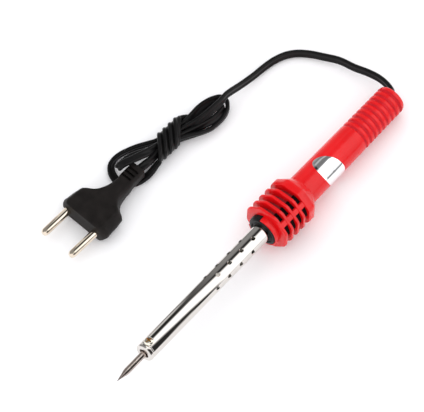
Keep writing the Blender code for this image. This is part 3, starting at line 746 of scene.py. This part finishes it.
# Plug-frame points (u, w, z) with the direction of the ribbon's width: over the bundle, the small bight,
# the rear loop and the big loop under the plug's neck
OVER_AND_BIGHT = [
    (98.2, 5.9, 11.2, (0, -0.5, 0.85)), (93.7, 5.9, 10.9, (0, -0.6, 0.8)), (88.5, 5.3, 9.8, (0, -0.6, 0.8)),
    (84.0, 4.2, 8.4, (0, -0.5, 0.85)), (79.0, 2.4, 7.0, (0, -0.3, 0.95)), (74.0, 0.4, 5.8, (0, 0, 1)),
    (68.0, -1.0, 5.2, (0, 0, 1)), (62.0, -1.4, 5.8, (0, -0.2, 1)), (57.0, -1.5, 7.6, (0, -0.5, 0.85)),
    (51.0, -1.9, 9.5, (0, -0.85, 0.5)), (46.0, -2.9, 10.9, (0, -1, 0.2)), (41.0, -4.2, 11.7, (0, -1, 0)),
    (37.0, -5.4, 11.9, (0, -1, 0)), (35.0, -6.0, 11.4, (0, -1, 0)), (34.2, -6.4, 10.3, (0, -1, 0)),
    (34.9, -6.9, 9.2, (0, -1, 0)), (37.5, -7.2, 8.7, (0, -1, 0)), (43.0, -6.6, 8.4, (0, -1, 0.1)),
    (50.0, -4.4, 7.0, (0, -0.8, 0.5)), (56.0, -1.9, 4.6, (0, -0.3, 0.9)), (62.0, 1.3, 4.2, (0, 0, 1)),
    (68.0, 2.4, 4.7, (0, 0, 1)), (74.0, 5.0, 4.4, (0, 0, 1)), (79.2, 7.7, 4.0, (0, 0.3, 0.95)),
    (86.0, 10.1, 3.2, (0, 0.3, 0.95)), (91.2, 10.3, 3.0, (0, 0.2, 1)), (96.0, 9.9, 3.4, (0, 0, 1)),
    (100.4, 8.0, 4.0, (0, 0, 1)), (102.6, 5.2, 4.6, (0, 0, 1)), (102.0, 2.4, 5.0, (0, -0.3, 0.95)),
    (99.0, 0.6, 5.4, (0, -0.6, 0.8)), (94.5, -0.8, 5.8, (0, -0.8, 0.6)), (88.9, -1.3, 6.2, (0, -0.8, 0.6)),
    (83.5, -1.1, 6.2, (0, -0.6, 0.8)), (79.0, -1.2, 5.6, (0, -0.3, 0.95)), (74.0, -2.4, 5.0, (0, 0, 1)),
    (68.0, -3.3, 4.7, (0, 0, 1)), (63.6, -4.3, 4.1, (0, 0, 1)), (60.4, -5.6, 3.6, (0, 0, 1)),
    (56.8, -7.9, 3.1, (0, 0, 1)), (52.3, -10.6, 2.7, (0, 0, 1)), (47.3, -12.8, 2.4, (0, 0, 1)),
    (43.0, -14.1, 2.3, (0, 0, 1)), (38.9, -14.2, 2.2, (-0.2, -0.2, 1)), (35.4, -12.9, 2.1, (-0.6, -0.4, 0.8)),
    (33.2, -10.4, 1.65, (-0.9, -0.4, 0.4)), (32.0, -7.4, 1.25, (-1, -0.2, 0.1)), (32.2, -3.0, 1.2, (-1, 0.1, 0)),
    (34.0, 0.0, 1.2, (-0.9, 0.4, 0)), (36.6, 2.3, 1.25, (-0.7, 0.7, 0)), (40.0, 3.7, 1.5, (-0.4, 0.9, 0.1)),
    (43.8, 4.6, 2.1, (-0.1, 1, 0.3)), (47.8, 4.7, 3.0, (0, 0.9, 0.5)), (51.0, 4.4, 4.0, (-0.5, 0.7, 0.4)),
]
WRAP_CENTRE = (58.8, -0.5, 5.4)
WRAP_PITCH = 4.0
WRAP_SLANT = 0.92
WRAP_HALF_W = 4.9
WRAP_HALF_Z = 3.85
WRAP_TURNS = 3.5
# From the last wrap through the rear loop into the plug
INNER_RUN = [
    (80.5, -4.2, 4.4, (-0.4, -0.3, -0.9)), (85.0, -1.2, 4.2, (0, -0.7, -0.7)), (90.0, 0.5, 4.2, (0, -0.8, -0.6)),
    (95.0, 1.8, 4.4, (0, -0.7, -0.7)), (98.6, 4.0, 4.6, (0, -0.2, -1)), (98.4, 6.6, 4.8, (0, 0.2, -1)),
    (95.0, 7.9, 5.0, (0, 0.6, -0.8)), (90.0, 8.0, 5.2, (0, 0.7, -0.7)), (85.0, 6.8, 5.2, (0, 0.6, -0.8)),
    (79.0, 4.6, 5.0, (0, 0.2, -1)), (73.0, 2.4, 4.9, (0, 0, -1)), (68.0, 1.2, 4.9, (0, 0, -1)),
    (62.0, 0.4, 5.6, (0, 0, -1)), (56.0, 1.0, 6.2, (0, 0.2, -1)), (50.0, 1.2, 6.3, (0, 0.6, -0.8)),
    (46.0, 0.9, 6.4, (0, 0.9, -0.4)), (41.2, 0.6, 6.5, (0, 1, 0)),
]


def wrap_points():
    """The turns round the bundle, a leaning helix with a rounded box section."""
    made = []
    count = round(WRAP_TURNS * 22)
    for index in range(count + 1):
        alpha = 360 * WRAP_TURNS * index / count
        turn = math.radians(alpha)
        c, s = math.cos(turn), math.sin(turn)
        w = WRAP_HALF_W * math.copysign(abs(c) ** 0.75, c)
        z = WRAP_HALF_Z * math.copysign(abs(s) ** 0.75, s)
        u = WRAP_CENTRE[0] + WRAP_PITCH * alpha / 360 - WRAP_SLANT * w
        lean = 0.55 * max(0.0, s) + 0.15
        width = Vector((-1, 0, 0)) + Vector((0, c, s)) * lean
        made.append((u, WRAP_CENTRE[1] + w, WRAP_CENTRE[2] + z, tuple(width)))
    return made


def cord_stations():
    """All control points as (place, width direction), in metres, from the handle to the plug."""
    made = [(Vector(point) * MM, EDGE) for point in LEAD]
    for u, w, z, width in OVER_AND_BIGHT + wrap_points() + INNER_RUN:
        made.append((on_plug(u, w, z), plug_vector(*width)))
    return made


def smooth_line(stations, spacing):
    """Evenly spaced points and width directions on a Catmull-Rom curve (centripetal spacing)."""
    points = [place for place, _ in stations]
    widths = [width.normalized() for _, width in stations]
    fine = []
    for index in range(len(points) - 1):
        p0 = points[max(index - 1, 0)]
        p1, p2 = points[index], points[index + 1]
        p3 = points[min(index + 2, len(points) - 1)]
        k1 = (p2 - p1).length
        k0 = max((p1 - p0).length, k1 * 0.25)
        k2 = max((p3 - p2).length, k1 * 0.25)
        m1 = m2 = (p2 - p1) / k1
        if index:
            m1 = ((p1 - p0) / k0 * k1 + m1 * k0) / (k0 + k1)
        if index < len(points) - 2:
            m2 = (m2 * k2 + (p3 - p2) / k2 * k1) / (k1 + k2)
        steps = 12
        for step in range(steps):
            t = step / steps
            h00 = 2 * t ** 3 - 3 * t ** 2 + 1
            h10 = t ** 3 - 2 * t ** 2 + t
            h01 = -2 * t ** 3 + 3 * t ** 2
            h11 = t ** 3 - t ** 2
            place = p1 * h00 + m1 * (k1 * h10) + p2 * h01 + m2 * (k1 * h11)
            fine.append((place, widths[index].lerp(widths[index + 1], t)))
    fine.append((points[-1], widths[-1]))
    lengths = [0.0]
    for (first, _), (second, _) in zip(fine, fine[1:]):
        lengths.append(lengths[-1] + (second - first).length)
    count = round(lengths[-1] / spacing)
    even = []
    index = 0
    for step in range(count + 1):
        target = lengths[-1] * step / count
        while index < len(fine) - 2 and lengths[index + 1] < target:
            index += 1
        share = (target - lengths[index]) / max(lengths[index + 1] - lengths[index], 1e-9)
        here, there = fine[index], fine[index + 1]
        even.append((here[0].lerp(there[0], share), here[1].lerp(there[1], share)))
    return even


def cord_section():
    """The twin cord's outline: two round cores with a groove between them."""
    radius = CORD_THICK / 2
    off = (CORD_WIDTH - CORD_THICK) / 2
    points = []
    for centre, start in ((off, -128), (-off, 52)):
        for index in range(13):
            turn = math.radians(start + 256 * index / 12)
            points.append((centre + math.cos(turn) * radius, math.sin(turn) * radius))
    return points


def build_cord():
    line = smooth_line(cord_stations(), 0.0012)
    section = cord_section()
    rings = []
    path = []
    for index, (place, width) in enumerate(line):
        ahead = line[min(index + 1, len(line) - 1)][0]
        behind = line[max(index - 1, 0)][0]
        tangent = (ahead - behind).normalized()
        across = (width - tangent * width.dot(tangent)).normalized()
        thick = tangent.cross(across)
        rings.append([place + (across * a + thick * b) * MM for a, b in section])
        path.append(tuple(place))
    return loft("flat_cord", rings, CORD, sharp=60), path


cord, cord_path = build_cord()
show_as(cord, ROOT, "cord_sheath", "cord_lead", "cord_loop", "cord_bight", "cord_tail", "cord_hank")

# ---------------------------------------------------------------- CAD nodes that stay

FINISHES = {
    "heater_core": INNER, "mica_inner_sleeve": MICA, "mica_outer_sleeve": MICA, "heating_coil": INNER,
    "front_spacer": CERAMIC, "rear_insulator": CERAMIC, "lead_sleeve_left": FIBRE, "lead_sleeve_right": FIBRE,
    "heater_lead_left": INNER, "heater_lead_right": INNER, "crimp_left": BRASS, "crimp_right": BRASS,
    "cord_core_left": COPPER, "cord_core_right": COPPER, "cord_inside_handle": CORD, "cord_clamp": INNER,
}
for node_name, finish in FINISHES.items():
    node = frame["nodes"][node_name]
    node.data.materials.clear()
    node.data.materials.append(finish)

# ---------------------------------------------------------------- studio

TO_CAMERA = Vector((0.36906, 0.31398, 0.87476))
IMAGE_RIGHT = Vector((-0.63338, 0.77377, -0.01051))
IMAGE_UP = Vector((-0.68016, -0.55018, 0.48444))
LOOK_AT = Vector((-7.34, -34.66, 0.0)) * MM
DISTANCE = 8.0
VIEW_WIDTH = 0.216904
camera_data = bpy.data.cameras.new("camera")
camera_data.sensor_width = 36.0
camera_data.lens = camera_data.sensor_width * DISTANCE / VIEW_WIDTH
camera_data.clip_end = 60.0
camera = bpy.data.objects.new("camera", camera_data)
bpy.context.scene.collection.objects.link(camera)
view_axes = Matrix((IMAGE_RIGHT, IMAGE_UP, TO_CAMERA)).transposed().to_4x4()
camera.matrix_world = Matrix.Translation(LOOK_AT + TO_CAMERA * DISTANCE) @ view_axes
bpy.context.scene.camera = camera

floor_finish = material("pale_floor", (0.975, 0.975, 0.98), 0.9, vary=0.004, vary_scale=3, bump=0.02,
                        specular=0.1)
floor_corners = [(-4, -4, -0.0002), (4, -4, -0.0002), (4, 4, -0.0002), (-4, 4, -0.0002)]
make_object("floor", floor_corners, [(0, 1, 2, 3)], floor_finish)

world = bpy.data.worlds.new("studio")
bpy.context.scene.world = world
world.use_nodes = True
sky = world.node_tree.nodes["Background"]
sky.inputs["Color"].default_value = (0.985, 0.985, 1.0, 1.0)
sky.inputs["Strength"].default_value = 1.22


lamp = bpy.data.lights.new("key", "AREA")
lamp.size = 1.2
lamp.energy = 2.0
lamp.color = (1.0, 0.99, 0.98)
key = bpy.data.objects.new("key", lamp)
bpy.context.scene.collection.objects.link(key)
key.location = (-0.7, -0.9, 1.6)
key.rotation_euler = (-key.location).to_track_quat("-Z", "Y").to_euler()
key.visible_glossy = False

# The tent's radius, how far behind a point of the iron its reflection comes from, and its brightest level
DOME_R = 120.0
DOME_BACK = DOME_R * 0.463
SOFTBOX = 1.65
HANDLE_PART = 70
TIP_PART = 203


def between(stops, value):
    """The value on a broken line through (place, value) stops."""
    for (first, start), (second, end) in zip(stops, stops[1:]):
        if value <= second:
            return start + (end - start) * max(0.0, value - first) / (second - first)
    return stops[-1][1]


def dome_light(station, angle):
    """How bright the tent is: a long softbox with dark gaps on both sides, whose edges shift along the iron."""
    edge = between([(140, 34), (165, 13), (185, 11)], station)
    left = ease(edge - 44, edge - 22, angle)
    fill = 0.30 * (1 - ease(125, 180, station)) * ease(20, 44, -angle)
    fill += 0.75 * ease(160, 178, station) * ease(60, 72, -angle)
    if station < HANDLE_PART:
        fill = 0.40 * ease(50, 94, -angle)
        left = 0.10 + 0.20 * ease(-52, -40, angle) * (1 - ease(-38, -28, angle)) + 0.90 * ease(-8, 8, angle)
        left *= 1 - 0.38 * ease(44, 66, angle)
    if station > TIP_PART:
        left = 0.20 + 0.60 * ease(-14, 0, angle) * (1 - ease(8, 22, angle))
        return SOFTBOX * left * (1 - 0.85 * ease(14, 30, angle) * (1 - ease(76, 90, angle)))
    inner = between([(143, 92), (150, 74), (160, 63), (170, 51), (180, 44), (190, 34), (205, 22)], station)
    outer = between([(160, 104), (170, 84), (180, 84), (190, 92), (205, 96)], station)
    right = 1 - ease(inner - 13, inner + 11, angle) + 0.45 * ease(outer - 8, outer + 8, angle)
    if angle > 81 and station < HANDLE_PART:
        right = 0.14 if angle < 91 else 0.30
    return SOFTBOX * min(left, right) + fill + 0.03


def studio_tent():
    """A half tube of light and dark round the iron that only reflections show."""
    stations = [-160, -60, 20, 66, 72, 100, 120, 135, 143, *range(150, 195, 5), 197, 202, 204, 215, 300]
    angles = [-94 + 2 * index for index in range(95)]
    verts = []
    levels = []
    for station in stations:
        for angle in angles:
            verts.append(on_iron(station - DOME_BACK, DOME_R, angle))
            levels.append(dome_light(station, angle))
    faces = []
    width = len(angles)
    for row in range(len(stations) - 1):
        for index in range(width - 1):
            here = row * width + index
            faces.append((here, here + 1, here + width + 1, here + width))
    glow = bpy.data.materials.new("studio_tent")
    glow.use_nodes = True
    tree = glow.node_tree
    tree.nodes.clear()
    level = tree.nodes.new("ShaderNodeAttribute")
    level.attribute_name = "level"
    light = tree.nodes.new("ShaderNodeEmission")
    sink = tree.nodes.new("ShaderNodeOutputMaterial")
    tree.links.new(level.outputs["Fac"], light.inputs["Strength"])
    tree.links.new(light.outputs["Emission"], sink.inputs["Surface"])
    tent = make_object("studio_tent", verts, faces, glow)
    values = tent.data.attributes.new("level", "FLOAT", "POINT")
    for index, value in enumerate(levels):
        values.data[index].value = value
    tent.visible_camera = False
    tent.visible_diffuse = False
    tent.visible_shadow = False


studio_tent()

bpy.context.scene.view_settings.view_transform = "Standard"
bpy.context.scene.view_settings.look = "None"
bpy.context.scene.view_settings.exposure = 0.0
